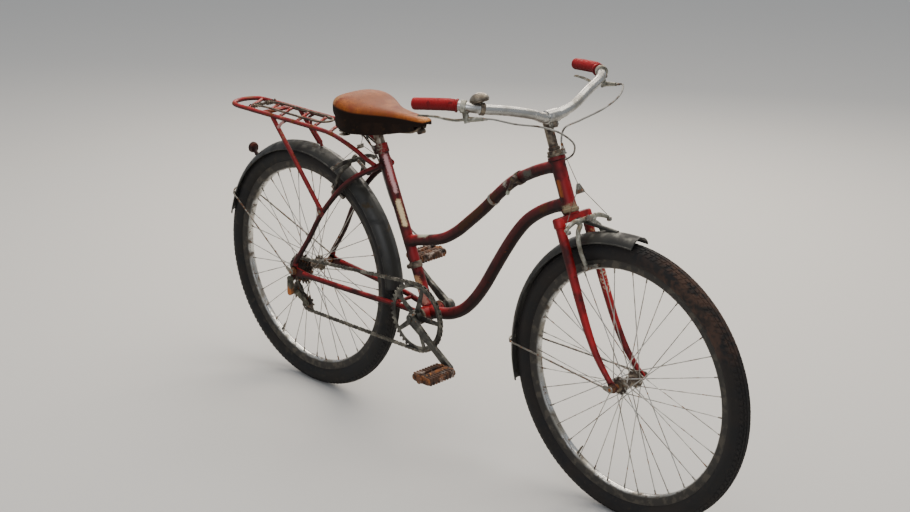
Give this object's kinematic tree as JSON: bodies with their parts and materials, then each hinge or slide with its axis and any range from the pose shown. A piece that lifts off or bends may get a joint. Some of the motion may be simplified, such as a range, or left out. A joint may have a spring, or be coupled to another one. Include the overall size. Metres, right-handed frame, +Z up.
{
  "type": "rusty bicycle",
  "caption": "Rusty old city bicycle with a low bent-tube frame, swept handlebar, fenders, rear carrier, sprung saddle, rim brakes and chain, whose wheels, steering, cranks and pedals turn",
  "frame": {"origin": "on the middle of the saddle's top, where the rider holds the bicycle up", "axes": "+X forward, +Y to the rider's left, +Z up, with the steering straight ahead"},
  "size_m": [1.7663, 0.5656, 0.9927],
  "materials": {
    "frame_paint": "dark red enamel, chipped and rusty",
    "rack_paint": "red enamel, worn to primer",
    "fender_paint": "dark grey enamel, dusty",
    "dull_steel": "dull plated steel with brown spots",
    "rusty_steel": "rusted steel",
    "chrome": "old chrome plating with pits",
    "alloy": "dull cast alloy",
    "tyre": "dusty, cracked rubber",
    "grip_rubber": "ribbed red rubber",
    "saddle_leather": "worn tan cover with a dark skirt",
    "reflector_lens": "dark red lens",
    "cable_cover": "black cable cover"
  },
  "bodies": {
    "frame": {"head_tube": "frame_paint", "seat_tube": "frame_paint", "top_tube": "frame_paint", "down_tube": "frame_paint", "chain_stay_right": "frame_paint", "chain_stay_left": "frame_paint", "seat_stay_right": "frame_paint", "seat_stay_left": "frame_paint", "chain_stay_bridge": "frame_paint", "seat_stay_bridge": "frame_paint", "seat_tube_band": "rusty_steel", "rear_axle": "rusty_steel", "rear_fender": "fender_paint", "rear_fender_stay": "dull_steel", "tail_reflector": "reflector_lens", "rack_deck": "rack_paint", "rack_clip": "dull_steel", "rack_strut_right": "rack_paint", "rack_strut_left": "rack_paint", "seat_post": "dull_steel", "saddle_frame": "dull_steel", "saddle": "saddle_leather", "rear_brake": "alloy", "rear_derailleur": "rusty_steel", "chain": "dull_steel", "gear_lever": "dull_steel", "cable_clip": "dull_steel", "rear_brake_cable": "cable_cover", "rear_cable_hanger": "dull_steel"},
    "steering": {"fork": "frame_paint", "lock_nut": "rusty_steel", "stem": "rusty_steel", "handlebar": "chrome", "grip_right": "grip_rubber", "grip_left": "grip_rubber", "brake_lever_right": "alloy", "brake_lever_left": "alloy", "bell": "chrome", "front_axle": "rusty_steel", "front_fender": "fender_paint", "front_fender_stay": "dull_steel", "front_brake": "alloy", "front_brake_cable": "cable_cover", "rear_brake_cable_loop": "cable_cover", "front_straddle_wire": "dull_steel"},
    "front_wheel": {"front_tyre": "tyre", "front_rim": "chrome", "front_hub": "dull_steel"},
    "rear_wheel": {"rear_tyre": "tyre", "rear_rim": "chrome", "rear_hub": "dull_steel", "rear_sprockets": "rusty_steel"},
    "crankset": {"crank_right": "dull_steel", "crank_left": "dull_steel", "chainring": "dull_steel"},
    "pedal_right": {"pedal_right": "rusty_steel"},
    "pedal_left": {"pedal_left": "rusty_steel"}
  },
  "joints": [
    {"name": "steering_turn", "type": "hinge", "parent": "frame", "child": "steering", "pos_m": [0.80899, 0, -0.51807], "axis": [-0.3681, 0, 0.9298], "range_deg": [-70, 70], "deforming": ["rear_brake_cable_loop"]},
    {"name": "front_wheel_spin", "type": "hinge", "parent": "steering", "child": "front_wheel", "pos_m": [0.842, 0, -0.505], "axis": [0, 1, 0], "continuous": true},
    {"name": "rear_wheel_spin", "type": "hinge", "parent": "frame", "child": "rear_wheel", "pos_m": [-0.255, 0, -0.505], "axis": [0, 1, 0], "continuous": true},
    {"name": "crank_turn", "type": "hinge", "parent": "frame", "child": "crankset", "pos_m": [0.198, 0, -0.515], "axis": [0, 1, 0], "continuous": true},
    {"name": "pedal_right_turn", "type": "hinge", "parent": "crankset", "child": "pedal_right", "pos_m": [0.33479, -0.118, -0.60727], "axis": [0, 1, 0], "continuous": true},
    {"name": "pedal_left_turn", "type": "hinge", "parent": "crankset", "child": "pedal_left", "pos_m": [0.06121, 0.118, -0.42273], "axis": [0, 1, 0], "continuous": true}
  ]
}
